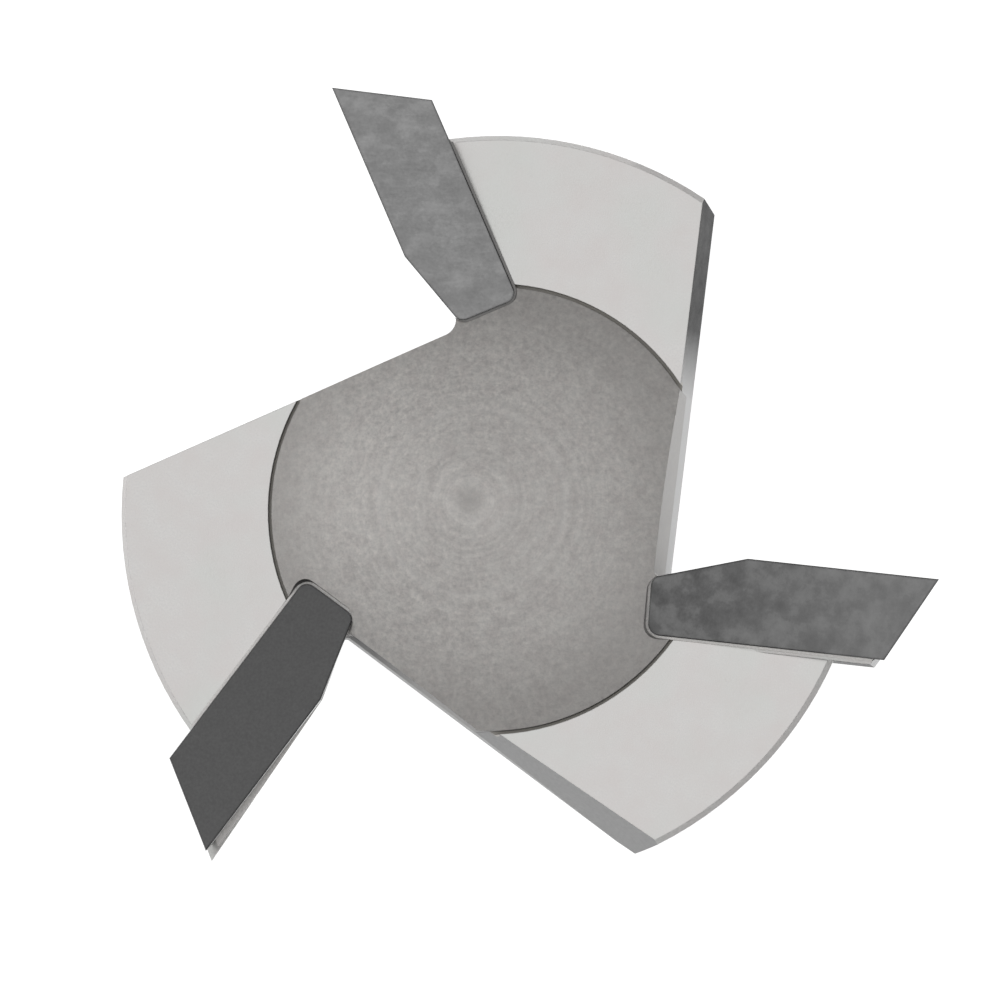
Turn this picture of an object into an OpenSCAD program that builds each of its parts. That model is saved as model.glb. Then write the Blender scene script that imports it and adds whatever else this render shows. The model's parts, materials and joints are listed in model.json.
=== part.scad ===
// Three-blade carving disc for an angle grinder.
// Z = 0 is the end of the boss, which seats on the grinder's spindle shoulder.
// +Z is the disc axis and points out of the domed working face.
// A tooth's own frame has +Y along its blade, outwards, and +X towards its trailing side.

/* [Disc] */
// Diameter swept by the blade tips
swept_d = 90; // [88:0.5:92]
// Diameter of the flange that carries the blades
flange_d = 75.6; // [75:0.1:76]
// Thickness of the flange
flange_t = 5.5; // [5.5:0.25:7]
// Distance from the mounting face to the back of the flange
boss_h = 8; // [7:0.5:10]
// Width of the bevel round the flange's front edge
rim_bevel = 0.5; // [0.3:0.1:0.8]
// How much smaller the flange's back edge is than its front edge, on radius
rim_taper = 0.6; // [0:0.1:1]
// Turn of the first blade from +Y
first_blade_turn = 23; // [0:1:119]

/* [Gullets] */
// Distance from the axis to the flat gullet face, at the flange's front
gullet_offset = 17.8; // [17.6:0.1:18]
// Lean of the gullet face, further out towards the back
gullet_relief = 7; // [5:0.5:8]
// Lean of the tooth's flank, further under the blade towards the back
flank_relief = 9; // [7:0.5:10]

/* [Blades] */
// Width of the carbide plate
blade_w = 8.8; // [8.6:0.1:9]
// Thickness of the carbide plate
blade_t = 1.6; // [1.4:0.1:1.8]
// Slope across the plate, leading edge forward
blade_pitch = 15; // [12:0.5:16]
// Slope along the plate, outer end forward
blade_rise = 3.5; // [2:0.5:4]
// Distance of the trailing edge from the radial line beside it
blade_offset = 11; // [10.8:0.1:11.2]
// Distance out from the axis to the bend in the leading edge
bend_out = 26; // [25.5:0.1:26.5]
// Distance out from the axis to the plate's root end
root_out = 17.2; // [17:0.1:17.4]
// Slant of the outer end
end_slant = 30; // [25:1:32]
// Angle by which the leading edge turns in at the bend
bend_angle = 16.4; // [15:0.2:17]
// Height of the plate's trailing edge above the flange, beside the bend
blade_lift = 0.6; // [0.4:0.1:0.7]
// Clearance angle ground on the leading sides and the outer end
side_clearance = 6; // [4:1:8]
// Corner radius of the root end
root_r = 1.2; // [0.8:0.1:1.4]
// Width of the ground land along the plate's upper edges
edge_land = 0.1; // [0.05:0.05:0.15]

/* [Brazing] */
// Thickness of the filler under the plate
braze_t = 0.15; // [0.1:0.05:0.2]
// Width of the filler beside the plate
braze_side = 0.3; // [0.2:0.05:0.4]
// How far the filler stays below the plate's face
braze_drop = 0.2; // [0.15:0.05:0.3]

/* [Hub] */
// Diameter of the hub's domed head
head_d = 44.8; // [44.6:0.1:45]
// Depth of the head's seat in the flange
head_seat = 3; // [2.8:0.1:3.2]
// Radius of the rounding at the dome's tip
tip_r = 16; // [12:1:20]
// Slope of the dome where its tip rounding ends
tip_slope = 12; // [10:1:14]
// Radius of the dome's side in section
side_r = 120; // [110:5:140]
// Diameter of the hub's shank and boss
shank_d = 28; // [27:0.5:29]
// Diameter of the spindle thread
thread_d = 14; // [10:1:14]
// Length of the spindle thread
thread_l = 13; // [11:0.5:13]
// Distance across the spanner flats
flats_w = 24; // [22:0.5:25]
// Height of the spanner flats
flats_h = 6; // [4:0.5:6.5]

/* [Hidden] */

steel_dark = [0.56, 0.55, 0.54];
steel_light = [0.80, 0.79, 0.77];
carbide = [0.36, 0.36, 0.37];
silver = [0.72, 0.70, 0.64];

front_z = boss_h + flange_t;
head_r = head_d / 2;
shank_r = shank_d / 2;
rim_r = flange_d / 2;
reach = 60;

// Groove round the head, where the flange's recess is opened out
groove_w = 0.35;
groove_h = 0.8;
// Collar behind the flange, which lengthens its grip on the shank
collar_r = 17;
collar_h = 2;
boss_chamfer = 0.8;
// Relief below the thread, and the end of the drilled hole
relief_l = 1.2;
relief_d = 0.6;
drill_end_h = 1.4;
// Arms that carry the blades out past the flange
arm_lip_drop = 0.6;
arm_inner = 20;
arm_root_lift = 0.5;
arm_tip_lift = 2;
flank_setback = 0.35;
// Lean of the outer end when it is square to the plate
end_lean = 10.5;
// How far the filler stays back from the plate's outer end, and its clearance from the plate's leading sides
braze_end = 1.2;
braze_gap = 0.02;
// How far the seat runs out past the plate's outer end, and past its leading side there
seat_end = 8;
seat_runout = 1.5;

// The teeth are ground and brazed by hand, so each differs a little from the nominal one.
// How much further out the blade's tip, bend and root are
blade_shifts = [[0.25, 0.7, 1.3], [1.15, 0.8, 0], [-0.3, -0.3, -0.2]];
// How much further over the blade's trailing edge is, and how much wider the blade is
blade_sides = [[-0.25, 0.15], [-0.15, 0], [0, 0.65]];
// How much further out the gullet's face is, and its corner radius
gullet_shifts = [0.2, -0.3, 0.9];
gullet_rs = [1.5, 0.5, 0.5];
// How far the arm stands out past the blade's trailing edge, and how far it ends short of the blade's end
arm_lips = [-0.4, 0.5, -0.4];
arm_setbacks = [0.3, 1, 0];
// How much the arm's flank opens out to the leading side, per mm beyond the bend
flank_flares = [-0.01, -0.01, 0.04];
// The third gullet's face is ground back on its wing: the facet's distance from the axis, turn, lean, extent
ground_offset = 18.33;
ground_turn = 2.6;
ground_lean = 23.4;
ground_x = 3.5;
ground_depth = 3;

// Points on an arc from angle a0 to a1
function arc(c, r, a0, a1, n) = [for (i = [0:n]) let (a = a0 + (a1 - a0) * i / n) c + r * [cos(a), sin(a)]];

// Sides of blade k in its tooth's frame
function trail_x(k) = blade_offset + blade_sides[k - 1][0];
function width(k) = blade_w + blade_sides[k - 1][1];
function lead_x(k) = trail_x(k) - width(k) * cos(blade_pitch);

// Blade lengths in the plate's own plane, measured from beside the bend
tip_out = sqrt(pow(swept_d / 2, 2) - pow(blade_offset - blade_w * cos(blade_pitch), 2));
bend_tan = tan(bend_angle) / cos(blade_pitch);
bend_cos = cos(atan(bend_tan));
end_tan = tan(end_slant) * cos(blade_pitch);
function plate_y(out) = (out - bend_out) / cos(blade_rise);
function tip_y(k) = plate_y(tip_out + blade_shifts[k - 1][0]) + blade_w * sin(blade_pitch) * tan(blade_rise);
function bend_y(k) = plate_y(bend_out + blade_shifts[k - 1][1]);
function root_y(k) = plate_y(root_out + blade_shifts[k - 1][2]);

// Outline of plate k, grown on its leading sides, its root and trailing sides, its outer end and its tip
function plate_outline(k, lead = 0, back = 0, end = 0, tip = 0) =
    let (r = root_r + back,
         y = root_y(k) - back + r,
         edge = width(k) + lead / bend_cos,
         corner_x = r / bend_cos - edge - (y - bend_y(k)) * bend_tan)
    concat([[-width(k) - lead - tip, tip_y(k) + (lead + tip) * end_tan + end]],
           [[-width(k) - lead, bend_y(k) + (lead - lead / bend_cos) / bend_tan]],
           arc([corner_x, y], r, 180 + atan(bend_tan), 270, 6),
           arc([back - r, y], r, 270, 360, 8),
           [[back, tip_y(k) - (width(k) + back) * end_tan + end]]);

// Turns a tooth's own frame to the place of tooth k
module at_tooth(k)
    rotate([0, 0, first_blade_turn - 120 * (k - 1)])
        children();

// Lays a plate's own plane at the slopes of its seat: its face is at z = 0
module at_plate(k)
    at_tooth(k)
        translate([trail_x(k), bend_out, front_z + blade_lift])
            rotate([blade_rise, 0, 0])
                rotate([0, blade_pitch, 0])
                    children();

// Where a point of the gullet's outline at the flange's front lies in the leaning cutter's own section
function leaning(p) = [(p[0] - p[1] * sin(gullet_relief) * tan(flank_relief)) * cos(flank_relief),
                       p[1] * cos(gullet_relief)];

// The gullet in front of tooth k: a flat face across the disc, a rounded corner, then the tooth's flank
module gullet(k) {
    face_y = gullet_offset + gullet_shifts[k - 1];
    r = gullet_rs[k - 1];
    bend = bend_out + blade_shifts[k - 1][1];
    flank_x = lead_x(k) + flank_setback;
    far_x = flank_x - flank_flares[k - 1] * (reach - bend);
    centre_y = face_y + r;
    centre_x = flank_x + (bend - centre_y) * tan(bend_angle) - r / cos(bend_angle);
    outline = concat([[-reach, face_y]],
                     arc([centre_x, centre_y], r, -90, bend_angle, 10),
                     [[flank_x, bend], [far_x, reach], [-reach, reach]]);
    at_tooth(k)
        translate([0, 0, front_z])
            rotate([gullet_relief, 0, 0])
                rotate([0, -flank_relief, 0])
                    linear_extrude(height = 2 * reach, center = true)
                        polygon([for (p = outline) leaning(p)]);
}

// The facet ground on the third gullet's face, on the flange only
module ground_facet()
    at_tooth(3)
        translate([0, ground_offset, front_z])
            rotate([0, 0, ground_turn])
                rotate([ground_lean, 0, 0])
                    translate([-2 * reach, 0, -reach])
                        cube([2 * reach + ground_x, ground_depth, 2 * reach]);

// The milled seat of blade k, open above and at its outer end
module seat(k)
    at_plate(k)
        translate([0, 0, -blade_t - braze_t])
            linear_extrude(height = 12)
                polygon(plate_outline(k, back = braze_side, end = seat_end, tip = seat_runout));

// Removes what the milling cutters take once the hub is in the flange
module milled()
    difference() {
        children();
        for (k = [1:3]) {
            gullet(k);
            seat(k);
        }
    }

// The arm under blade k: as long as the blade, under the plane of the blade's face
module arm(k) {
    lip_x = trail_x(k) + arm_lips[k - 1];
    end_y = tip_out + blade_shifts[k - 1][0] + lead_x(k) * tan(end_slant) - arm_setbacks[k - 1];
    intersection() {
        at_tooth(k)
            linear_extrude(height = 2 * front_z)
                polygon([[0, arm_inner],
                         [0, end_y],
                         [lip_x, end_y - lip_x * tan(end_slant)],
                         [lip_x, arm_inner]]);
        at_tooth(k)
            rotate([90, 0, 90])
                linear_extrude(height = reach)
                    polygon([[arm_inner, boss_h + arm_root_lift],
                             [tip_out, boss_h + arm_tip_lift],
                             [tip_out + 2, 2 * front_z],
                             [arm_inner, 2 * front_z]]);
        at_plate(k)
            translate([-reach / 2, -reach / 2, -reach - arm_lip_drop])
                cube([reach, reach, reach]);
    }
}

module flange()
    color(steel_light)
        milled()
            difference() {
                union() {
                    rotate_extrude($fn = 180)
                        polygon([[0, boss_h - collar_h],
                                 [collar_r, boss_h - collar_h],
                                 [collar_r, boss_h],
                                 [rim_r - rim_taper, boss_h],
                                 [rim_r, front_z - rim_bevel],
                                 [rim_r - rim_bevel, front_z],
                                 [0, front_z]]);
                    for (k = [1:3])
                        arm(k);
                }
                cylinder(h = 3 * front_z, r = shank_r, center = true, $fn = 120);
                translate([0, 0, front_z - head_seat])
                    cylinder(h = reach, r = head_r, $fn = 180);
                translate([0, 0, front_z - groove_h])
                    cylinder(h = reach, r = head_r + groove_w, $fn = 180);
                ground_facet();
            }

// The dome's section: a rounded tip, then a long arc that steepens out to the head's edge
module hub() {
    tip_run = tip_r * sin(tip_slope);
    edge_slope = asin(sin(tip_slope) + (head_r - tip_run) / side_r);
    side_c = [tip_run - side_r * sin(tip_slope), front_z - side_r * cos(edge_slope)];
    tip_c = [0, side_c[1] + (side_r - tip_r) * cos(tip_slope)];
    color(steel_dark)
        milled()
            difference() {
                rotate_extrude($fn = 180)
                    polygon(concat([[0, 0],
                                    [shank_r - boss_chamfer, 0],
                                    [shank_r, boss_chamfer],
                                    [shank_r, front_z - head_seat],
                                    [head_r, front_z - head_seat]],
                                   arc(side_c, side_r, 90 - edge_slope, 90 - tip_slope, 18),
                                   [for (i = [1:6]) tip_c + tip_r * [sin(tip_slope * (1 - i / 6)),
                                                                     cos(tip_slope * (1 - i / 6))]]));
                spindle_hole();
                spanner_flats();
            }
}

module spindle_hole() {
    translate([0, 0, -1])
        cylinder(h = thread_l + 1, d = thread_d, $fn = 96);
    translate([0, 0, thread_l])
        cylinder(h = relief_l, d = thread_d + relief_d, $fn = 96);
    translate([0, 0, thread_l + relief_l])
        cylinder(h = drill_end_h, r1 = thread_d / 2 - 1, r2 = 0.5, $fn = 96);
}

module spanner_flats()
    for (side = [-1, 1])
        translate([side * (flats_w / 2 + shank_r), 0, flats_h / 2 - 1])
            cube([2 * shank_r, 2 * shank_d, flats_h + 2], center = true);

// A carbide plate with a clearance ground on its cutting sides and a narrow land along its upper edges
module blade(k) {
    outline = plate_outline(k);
    last = len(outline) - 1;
    color(carbide)
        at_plate(k)
            difference() {
                translate([0, 0, -blade_t])
                    linear_extrude(height = blade_t)
                        polygon(outline);
                clearance(outline[0], outline[1], blade_pitch + side_clearance);
                clearance(outline[1], outline[2], blade_pitch + side_clearance);
                clearance(outline[last], outline[0], end_lean + side_clearance);
                for (edge = [[0, 1], [1, 2], [last - 1, last], [last, 0]])
                    land(outline[edge[0]], outline[edge[1]]);
            }
}

// What is ground off below the edge between two points of the plate's face, at an angle to the plate
module clearance(from, to, angle) {
    step = to - from;
    translate([from[0], from[1], 0])
        rotate([0, 0, atan2(step[1], step[0])])
            rotate([angle, 0, 0])
                translate([-3, -3, -4])
                    cube([norm(step) + 6, 3, 5]);
}

// The corner strip ground off between two points of the plate's face
module land(from, to) {
    step = to - from;
    translate([from[0], from[1], 0])
        rotate([0, 0, atan2(step[1], step[0])])
            rotate([45, 0, 0])
                translate([-1, -edge_land / sqrt(2), -edge_land / sqrt(2)])
                    cube([norm(step) + 2, edge_land * sqrt(2), edge_land * sqrt(2)]);
}

// The filler metal under blade k and up its root and trailing sides
module braze(k)
    color(silver)
        difference() {
            intersection() {
                braze_fill(k);
                braze_support(k);
            }
            gullet(k);
        }

module braze_fill(k)
    at_plate(k)
        difference() {
            translate([0, 0, -blade_t - braze_t])
                linear_extrude(height = blade_t + braze_t - braze_drop)
                    polygon(plate_outline(k, back = braze_side, end = -braze_end));
            translate([0, 0, -blade_t])
                linear_extrude(height = 2 * blade_t)
                    polygon(plate_outline(k, lead = braze_gap, end = 1));
        }

// Where steel stands under the filler: as far out as the flange or, past a lip, all along the arm
module braze_support(k) {
    r = (arm_lips[k - 1] > 0) ? reach : rim_r - rim_bevel;
    translate([0, 0, boss_h])
        cylinder(h = reach, r = r, $fn = 180);
    at_tooth(k)
        translate([-reach, 0, 0])
            cube([reach + trail_x(k) + min(arm_lips[k - 1], 0), reach, reach]);
}

module blade_1() blade(1);
module blade_2() blade(2);
module blade_3() blade(3);
module braze_1() braze(1);
module braze_2() braze(2);
module braze_3() braze(3);

hub();
flange();
blade_1();
blade_2();
blade_3();
braze_1();
braze_2();
braze_3();
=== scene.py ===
"""Looks for a three-blade carving disc: finishes, the spindle thread's ridge, floor, light and camera."""

import json
import math

import bpy
from mathutils import Matrix, Vector

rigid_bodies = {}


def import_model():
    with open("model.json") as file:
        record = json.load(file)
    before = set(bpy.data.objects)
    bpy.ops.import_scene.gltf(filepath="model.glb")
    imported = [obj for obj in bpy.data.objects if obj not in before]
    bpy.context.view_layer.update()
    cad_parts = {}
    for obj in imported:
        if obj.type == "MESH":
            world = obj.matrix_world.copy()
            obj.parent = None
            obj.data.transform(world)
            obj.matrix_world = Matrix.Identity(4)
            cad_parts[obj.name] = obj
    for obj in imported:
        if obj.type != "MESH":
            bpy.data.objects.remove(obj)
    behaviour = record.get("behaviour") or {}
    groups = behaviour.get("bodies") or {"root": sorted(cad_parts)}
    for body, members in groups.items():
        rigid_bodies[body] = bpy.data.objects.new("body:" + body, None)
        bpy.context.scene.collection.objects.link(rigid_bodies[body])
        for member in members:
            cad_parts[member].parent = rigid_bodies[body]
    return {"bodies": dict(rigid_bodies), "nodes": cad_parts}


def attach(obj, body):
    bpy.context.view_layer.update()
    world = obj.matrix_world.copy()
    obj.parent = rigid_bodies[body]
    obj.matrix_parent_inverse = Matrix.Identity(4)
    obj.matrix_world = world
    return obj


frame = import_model()
kept = set(frame["bodies"].values()) | set(frame["nodes"].values())
for thing in [o for o in bpy.data.objects if o not in kept]:
    bpy.data.objects.remove(thing)
bpy.context.view_layer.update()
scene = bpy.context.scene
MM = 0.001

# ---------------------------------------------------------------- camera
FRONT_Z = 13.5 * MM
FRAME_WIDTH = 100.5 * MM
CAMERA_DISTANCE = 1.0
SENSOR = 36.0
CAMERA_SIDE = Vector((0.13, -0.09, 0.987)).normalized()
CAMERA_AIM = Vector((0.85 * MM, 0.85 * MM, FRONT_Z))


def place_camera():
    """A long lens above the working face, a little to the right and below, with +Y up the picture."""
    data = bpy.data.cameras.new("camera")
    data.sensor_width = SENSOR
    data.lens = SENSOR * CAMERA_DISTANCE / FRAME_WIDTH
    data.clip_end = 10
    across = Vector((0, 1, 0)).cross(CAMERA_SIDE).normalized()
    up = CAMERA_SIDE.cross(across)
    camera = bpy.data.objects.new("camera", data)
    turned = Matrix((across, up, CAMERA_SIDE)).transposed().to_4x4()
    camera.matrix_world = Matrix.Translation(CAMERA_AIM + CAMERA_SIDE * CAMERA_DISTANCE) @ turned
    scene.collection.objects.link(camera)
    scene.camera = camera


# ---------------------------------------------------------------- shader building
class Graph:
    """A material being built node by node."""

    def __init__(self, name):
        self.material = bpy.data.materials.new(name)
        self.material.use_nodes = True
        self.tree = self.material.node_tree
        self.tree.nodes.clear()

    def node(self, kind, inputs=None, **settings):
        made = self.tree.nodes.new("ShaderNode" + kind)
        for key, value in settings.items():
            setattr(made, key, value)
        for key, value in (inputs or {}).items():
            if isinstance(value, bpy.types.NodeSocket):
                self.tree.links.new(value, made.inputs[key])
            else:
                made.inputs[key].default_value = value
        return made

    def math(self, operation, *values):
        return self.node("Math", dict(enumerate(values)), operation=operation).outputs[0]

    def vector(self, operation, a, b):
        made = self.node("VectorMath", {0: a, 1: b}, operation=operation)
        return made.outputs["Value" if operation in ("DOT_PRODUCT", "LENGTH") else "Vector"]

    def spread(self, value, low, high, to_low=0.0, to_high=1.0):
        """value from low..high onto to_low..to_high, held at both ends."""
        inputs = {"Value": value, "From Min": low, "From Max": high, "To Min": to_low, "To Max": to_high}
        return self.node("MapRange", inputs).outputs["Result"]

    def blend(self, factor, a, b):
        """Colour a where factor is 0 and b where it is 1."""
        return self.node("Mix", {0: factor, 6: a, 7: b}, data_type="RGBA").outputs[2]

    def noise(self, where, scale, detail=2.0, rough=0.5):
        inputs = {"Vector": where, "Scale": scale, "Detail": detail, "Roughness": rough}
        return self.node("TexNoise", inputs).outputs["Fac"]

    def noise_along(self, value, scale, detail=2.0):
        """Noise along one number, for lines."""
        inputs = {"W": value, "Scale": scale, "Detail": detail}
        return self.node("TexNoise", inputs, noise_dimensions="1D").outputs["Fac"]

    def stretched(self, turn, across, along):
        """Object coordinates turned about Z by turn degrees, then scaled on their own X and Y."""
        placed = self.node("Mapping", {"Vector": self.where(), "Rotation": (0, 0, math.radians(-turn))})
        scaled = self.node("Mapping", {"Vector": placed.outputs[0], "Scale": (across, along, along)})
        return scaled.outputs[0]

    def where(self):
        return self.node("TexCoord").outputs["Object"]

    def radius(self, centre):
        """Distance from the line through centre along Z."""
        flat = self.vector("MULTIPLY", self.vector("SUBTRACT", self.where(), centre), (1, 1, 0))
        return self.vector("LENGTH", flat, (0, 0, 0))

    def facing(self, direction):
        """1 where the surface faces direction, 0 at right angles to it."""
        return self.vector("DOT_PRODUCT", self.node("NewGeometry").outputs["Normal"], direction)

    def bumped(self, layers, edge_mm):
        """A normal from (height socket, depth in mm) layers, over edges rounded by edge_mm."""
        normal = self.node("Bevel", {"Radius": edge_mm * MM}, samples=4).outputs[0]
        for height, depth_mm in layers:
            inputs = {"Height": height, "Distance": depth_mm * MM, "Strength": 1.0, "Normal": normal}
            normal = self.node("Bump", inputs).outputs[0]
        return normal

    def edges(self, edge_mm):
        """1 on sharp edges, 0 on open faces."""
        rounded = self.node("Bevel", {"Radius": edge_mm * MM}, samples=4).outputs[0]
        flat = self.node("NewGeometry").outputs["Normal"]
        return self.spread(self.vector("DOT_PRODUCT", rounded, flat), 0.995, 0.85)

    def metal(self, colour, roughness, normal, **more):
        inputs = {"Base Color": colour, "Roughness": roughness, "Normal": normal, "Metallic": 1.0, **more}
        shader = self.node("BsdfPrincipled", inputs)
        self.node("OutputMaterial", {"Surface": shader.outputs[0]})
        return self.material


def grey(level, warm=0.0):
    """A linear grey, a little warmer where warm is above 0."""
    return (level * (1 + warm), level, level * (1 - warm), 1.0)


# ---------------------------------------------------------------- finishes
# On the hub: the middle of its rings, a little off the disc's axis, a dark spot at that middle, a painted
# highlight ring, and painted shade towards the dome's edge and on the milled faces towards -X
LATHE_CENTRE = (-1.4 * MM, 0.3 * MM, 0)
RING_FADE = (4 * MM, 18 * MM)
HIGHLIGHT_RING_R = 9.3 * MM
HIGHLIGHT_RING_HALF = 0.5 * MM
CENTRE_SPOT = (2.2 * MM, 0.3 * MM)
DOME_EDGE_SHADE = (14 * MM, 20 * MM)
SHADED_SIDE_X = (-6 * MM, -12 * MM)
# On the flange: the groove round the hub's head, which gets painted shade, and where painted shade goes on
# the outer end of a cut and on the arms' sides
GROOVE_IN = 22.3 * MM
GROOVE_OUT = 22.9 * MM
GROOVE_TOP = 13.35 * MM
GROOVE_FLOOR = 12.7 * MM
GROOVE_FADE = 0.05 * MM
ARM_SIDE_R = (34 * MM, 38 * MM)
CUT_END_X = (14 * MM, 15 * MM)
CUT_END_Y = (11 * MM, 18 * MM)
# On the plates: the distance from the axis over which they grow worn
WORN_R = (22 * MM, 42 * MM)
# On all: how far up a face looks, where it stops being front and where it is side
FRONT_TO_SIDE = (0.75, 0.5)


def hub_finish():
    """Turned steel under a fine blast: grain, faint rings, a dark spot at their middle, and milled faces at
    the gullets; with a painted highlight ring, painted shade towards the dome's edge, a painted highlight on
    its edges, and painted light and shade on the milled faces by which way they face.
    """
    g = Graph("hub_turned_blasted")
    where = g.where()
    radius = g.radius(LATHE_CENTRE)
    grain = g.noise(where, 1900, 5.0, 0.75)
    mottle = g.noise(where, 650, 4.0, 0.65)
    rings = g.noise_along(radius, 1500, 3.0)
    tone = g.blend(g.spread(grain, 0.3, 0.7), grey(0.51, 0.025), grey(0.95, 0.035))
    tone = g.blend(g.spread(mottle, 0.4, 0.65, 0.0, 0.35), tone, (0.60, 0.565, 0.555, 1.0))
    tone = g.blend(g.spread(mottle, 0.6, 0.35, 0.0, 0.35), tone, (0.80, 0.79, 0.765, 1.0))
    ring_reach = g.spread(radius, *RING_FADE, 0.24, 0.08)
    tone = g.blend(g.math("MULTIPLY", g.spread(rings, 0.35, 0.65), ring_reach), tone, grey(0.42, 0.03))
    # painted highlight: a faint lighter ring round the dome
    from_ring = g.math("ABSOLUTE", g.math("SUBTRACT", radius, HIGHLIGHT_RING_R))
    tone = g.blend(g.spread(from_ring, HIGHLIGHT_RING_HALF, 0.0, 0.0, 0.2), tone, grey(0.85, 0.02))
    tone = g.blend(g.spread(radius, *CENTRE_SPOT, 0.0, 0.35), tone, grey(0.34, 0.03))
    # painted shade: darker towards the dome's edge, where its slope turns away from the light
    tone = g.blend(g.spread(radius, *DOME_EDGE_SHADE, 0.0, 0.34), tone, grey(0.45, 0.03))
    side = g.spread(g.facing((0, 0, 1)), *FRONT_TO_SIDE)
    # painted light: milled faces turned towards +X are lighter
    side_tone = g.blend(g.spread(g.facing((1, 0, 0)), 0.5, 0.9), grey(0.26, 0.02), grey(0.5, 0.02))
    # painted shade: milled faces towards -X go nearly black
    left = g.spread(g.node("SeparateXYZ", {0: where}).outputs["X"], *SHADED_SIDE_X, 0.0, 0.75)
    side_tone = g.blend(left, side_tone, grey(0.04, 0.02))
    tone = g.blend(side, tone, side_tone)
    # painted highlight along the hub's edges
    tone = g.blend(g.math("MULTIPLY", g.edges(0.08), 0.15), tone, grey(0.75, 0.02))
    roughness = g.spread(grain, 0.3, 0.7, 0.5, 0.66)
    normal = g.bumped([(rings, 0.006), (grain, 0.02)], 0.1)
    # the painted shade on the milled faces towards -X also lowers their specular level
    more = {"Metallic": g.spread(side, 0, 1, 1, 0.35),
            "Specular IOR Level": g.spread(g.math("MULTIPLY", left, side), 0, 1, 0.5, 0.1)}
    return g.metal(tone, roughness, normal, **more)


def flange_finish():
    """Fine satin front, milled gullet faces, painted shade in the groove round the hub's head, painted shade
    on the outer end of a cut and on the arms' sides, painted light on side faces turned to +X, and a painted
    highlight on its edges.
    """
    g = Graph("flange_satin")
    where = g.where()
    grain = g.noise(where, 4000, 3.0, 0.6)
    mottle = g.noise(where, 300, 3.0, 0.6)
    tint = g.noise(where, 110, 2.0, 0.5)
    tone = g.blend(g.spread(grain, 0.3, 0.7), grey(0.77, 0.012), grey(0.91, 0.018))
    tone = g.blend(g.spread(mottle, 0.35, 0.65, 0.0, 0.5), tone, (0.83, 0.785, 0.77, 1.0))
    tone = g.blend(g.spread(tint, 0.45, 0.65, 0.0, 0.5), tone, (0.81, 0.84, 0.81, 1.0))
    side = g.spread(g.facing((0, 0, 1)), *FRONT_TO_SIDE)
    lines = g.noise(g.stretched(0, 2500, 2500), 1.0, 2.0)
    side_tone = g.blend(lines, grey(0.26), grey(0.36))
    # painted light: side faces turned towards +X are lighter
    side_tone = g.blend(g.spread(g.facing((1, 0, 0)), 0.5, 0.9), side_tone, grey(0.6))
    tone = g.blend(side, tone, side_tone)
    split = g.node("SeparateXYZ", {0: where}).outputs
    radius = g.radius((0, 0, 0))
    # painted shade: the outer end of a cut and the arms' sides facing -Y go nearly black, mottled by cloud,
    # and reflect less
    cut_end = g.math("MULTIPLY", g.spread(split["X"], *CUT_END_X), g.spread(split["Y"], *CUT_END_Y))
    facing_back = g.spread(g.facing((0, -1, 0)), 0.8, 0.95, 0.0, 0.8)
    arm_side = g.math("MULTIPLY", g.spread(radius, *ARM_SIDE_R), facing_back)
    cloud = g.spread(g.noise(where, 260, 4.0, 0.6), 0.3, 0.7, 0.88, 1.0)
    shade_patch = g.math("MULTIPLY", g.math("MULTIPLY", g.math("MAXIMUM", cut_end, arm_side), side), cloud)
    # painted shade in the groove round the hub's head, where shade falls
    below = g.spread(split["Z"], GROOVE_TOP, GROOVE_TOP - 2 * GROOVE_FADE)
    above = g.spread(split["Z"], GROOVE_FLOOR - 2 * GROOVE_FADE, GROOVE_FLOOR)
    outside = g.spread(radius, GROOVE_IN, GROOVE_IN + GROOVE_FADE)
    inside = g.spread(radius, GROOVE_OUT + GROOVE_FADE, GROOVE_OUT)
    groove_shade = g.math("MULTIPLY", g.math("MULTIPLY", below, above), g.math("MULTIPLY", outside, inside))
    # painted highlight along the flange's edges
    tone = g.blend(g.math("MULTIPLY", g.edges(0.08), 0.5), tone, grey(0.95))
    tone = g.blend(shade_patch, tone, grey(0.02))
    tone = g.blend(groove_shade, tone, (0.5, 0.48, 0.44, 1.0))
    roughness = g.spread(grain, 0.3, 0.7, 0.40, 0.5)
    normal = g.bumped([(mottle, 0.01), (grain, 0.008)], 0.1)
    more = {"Metallic": g.spread(g.math("MAXIMUM", side, groove_shade), 0, 1, 1, 0.2),
            "Specular IOR Level": g.spread(shade_patch, 0, 1, 0.5, 0.04)}
    return g.metal(tone, roughness, normal, **more)


def carbide_finish(name, turn, level, side_lit_tone, marks, mottling, worn):
    """Ground carbide of a plate that points turn degrees from +X: marks across it, mottling, a worn tip; its
    level and side tone are painted light and shade for this plate, and a painted dark reflection runs along
    its edges.
    """
    g = Graph(name)
    where = g.where()
    strokes = g.noise(g.stretched(turn + 70, 350, 3000), 1.0, 3.0, 0.6)
    mottle = g.noise(where, 450, 4.0, 0.6)
    grain = g.noise(where, 3500, 3.0)
    tone = g.blend(g.spread(grain, 0.3, 0.7), grey(level * 0.92), grey(level * 1.08))
    tone = g.blend(g.spread(strokes, 0.4, 0.7, 0.0, marks), tone, grey(level * 1.6))
    tone = g.blend(g.spread(mottle, 0.45, 0.7, 0.0, mottling), tone, grey(level * 0.4))
    tone = g.blend(g.spread(mottle, 0.5, 0.3, 0.0, mottling), tone, grey(level * 1.7))
    tone = g.blend(g.spread(g.radius((0, 0, 0)), *WORN_R, 0.0, worn), tone, grey(level * 2))
    side = g.spread(g.facing((0, 0, 1)), *FRONT_TO_SIDE)
    # painted light and shade: the plate's sides take its side tone
    tone = g.blend(side, tone, grey(side_lit_tone))
    # painted dark reflection along the plate's edges
    tone = g.blend(g.math("MULTIPLY", g.edges(0.3), 0.8), tone, grey(level * 0.2))
    roughness = g.spread(strokes, 0.3, 0.7, 0.34, 0.46)
    return g.metal(tone, roughness, g.bumped([(strokes, 0.006), (grain, 0.004)], 0.06))


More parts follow.
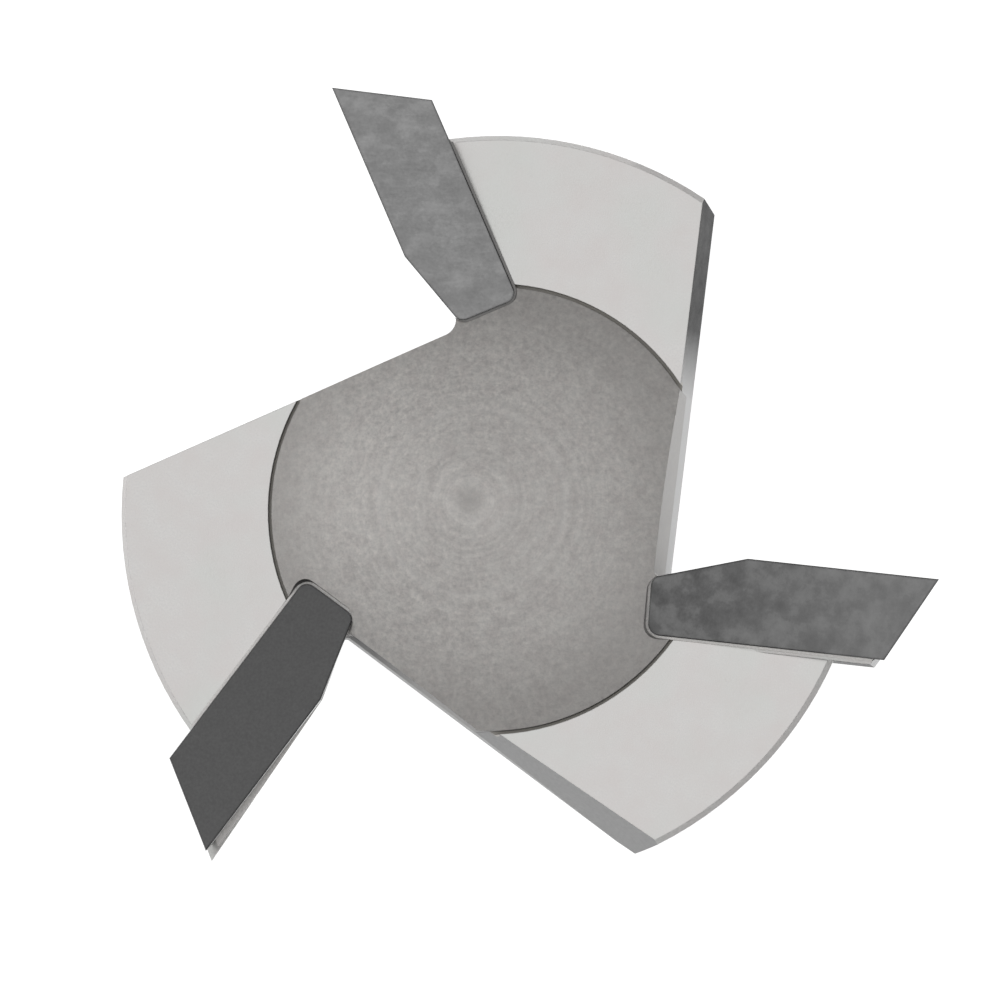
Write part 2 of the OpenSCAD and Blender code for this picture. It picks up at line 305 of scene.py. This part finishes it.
def braze_finish(name, level):
    """Silver brazing filler as it ran: soft lumps and a slightly dull skin, at a level that is painted light
    and shade for its plate.
    """
    g = Graph(name)
    where = g.where()
    lumps = g.noise(where, 900, 2.0)
    skin = g.noise(where, 3500, 3.0)
    tone = g.blend(g.spread(skin, 0.35, 0.65), grey(level, 0.02), grey(level * 1.15, 0.03))
    return g.metal(tone, g.spread(skin, 0.3, 0.7, 0.28, 0.42), g.bumped([(lumps, 0.05)], 0.08), Metallic=0.1)


# Each plate's level and side tone are painted light and shade: the three plates are the same carbide,
# lighter or darker by how each is turned to the light
PLATES = (
    dict(turn=113, level=0.38, side_lit_tone=0.1, marks=0.1, mottling=0.25, worn=0.0),
    dict(turn=-7, level=0.203, side_lit_tone=0.1, marks=0.35, mottling=0.6, worn=0.45),
    dict(turn=233, level=0.172, side_lit_tone=0.65, marks=0.03, mottling=0.03, worn=0.0),
)
# The filler's level for each plate is painted light and shade too: the same filler, lighter or darker by how
# it lies to the light
FILLER_LIT_LEVELS = (0.3, 0.85, 0.9)


def dress(node, material):
    frame["nodes"][node].data.materials[0] = material


def dress_all():
    dress("hub", hub_finish())
    dress("flange", flange_finish())
    for number, (plate, filler_level) in enumerate(zip(PLATES, FILLER_LIT_LEVELS), 1):
        dress(f"blade_{number}", carbide_finish(f"carbide_{number}", **plate))
        dress(f"braze_{number}", braze_finish(f"silver_braze_{number}", filler_level))


# ---------------------------------------------------------------- the thread's ridge, in millimetres
THREAD_R = 7.0
RIDGE_R = 5.95
PITCH = 2.0
THREAD_START = 0.4
THREAD_END = 12.6
TURN_STEPS = 64
FADE_STEPS = 16
LEAST = 0.02         # how much of the ridge is left at its ends
SUNK = 0.03          # how far the ridge's root sits in the bore's wall
ROOT_HALF = 0.86     # half of the ridge's height at its root
CREST_HALF = 0.16    # half of its height at its crest


def thread_ridge():
    """The M14 x 2 ridge that winds up the bore, faded out at both ends."""
    steps = int((THREAD_END - THREAD_START - PITCH) / PITCH * TURN_STEPS)
    root_r = THREAD_R + SUNK
    profile = ((root_r, -ROOT_HALF), (RIDGE_R, -CREST_HALF), (RIDGE_R, CREST_HALF), (root_r, ROOT_HALF))
    points, faces = [], []
    for i in range(steps + 1):
        angle = 2 * math.pi * i / TURN_STEPS
        height = THREAD_START + PITCH / 2 + PITCH * i / TURN_STEPS
        fade = min(1.0, i / FADE_STEPS, (steps - i) / FADE_STEPS) * (1 - LEAST) + LEAST
        for r, z in profile:
            reach = root_r - (root_r - r) * fade
            point = Vector((reach * math.cos(angle), reach * math.sin(angle), height + z * fade))
            points.append(point * MM)
    size = len(profile)
    for i in range(steps):
        for j in range(size):
            a, b = i * size + j, i * size + (j + 1) % size
            faces.append((a, b, b + size, a + size))
    faces.append(tuple(range(size))[::-1])
    faces.append(tuple(range(steps * size, steps * size + size)))
    mesh = bpy.data.meshes.new("thread_ridge")
    mesh.from_pydata(points, [], faces)
    mesh.update()
    ridge = bpy.data.objects.new("thread_ridge", mesh)
    scene.collection.objects.link(ridge)
    mesh.materials.append(frame["nodes"]["hub"].data.materials[0])
    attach(ridge, "root")


# ---------------------------------------------------------------- floor and light
FLOOR_HALF = 2.0
FLOOR_GAP = 0.01 * MM


def floor():
    """A wide pale floor that the boss stands on."""
    g = Graph("floor_pale")
    shader = g.node("BsdfPrincipled", {"Base Color": grey(0.8), "Roughness": 0.9,
                                       "Emission Color": grey(1.0), "Emission Strength": 0.85})
    g.node("OutputMaterial", {"Surface": shader.outputs[0]})
    mesh = bpy.data.meshes.new("floor")
    corners = [(x * FLOOR_HALF, y * FLOOR_HALF, 0) for x, y in ((-1, -1), (1, -1), (1, 1), (-1, 1))]
    mesh.from_pydata(corners, [], [(0, 1, 2, 3)])
    mesh.materials.append(g.material)
    plane = bpy.data.objects.new("floor", mesh)
    plane.location.z = -FLOOR_GAP
    scene.collection.objects.link(plane)


def softbox(name, place, size, power):
    """A square soft light at place that faces the disc."""
    data = bpy.data.lights.new(name, "AREA")
    data.shape = "RECTANGLE"
    data.size, data.size_y = size
    data.energy = power
    light = bpy.data.objects.new(name, data)
    light.location = place
    light.rotation_mode = "QUATERNION"
    light.rotation_quaternion = (Vector((0, 0, FRONT_Z)) - Vector(place)).to_track_quat("-Z", "Y")
    light.visible_camera = False
    scene.collection.objects.link(light)


def lights():
    world = bpy.data.worlds.new("studio")
    world.use_nodes = True
    world.node_tree.nodes["Background"].inputs["Color"].default_value = grey(0.17)
    scene.world = world
    softbox("softbox_over", (0.0, 0.02, 0.7), (0.84, 0.95), 1.76)
    softbox("softbox_left", (-0.7, 0.1, 0.5), (0.5, 0.5), 0.75)


place_camera()
dress_all()
thread_ridge()
floor()
lights()
scene.view_settings.view_transform = "Standard"
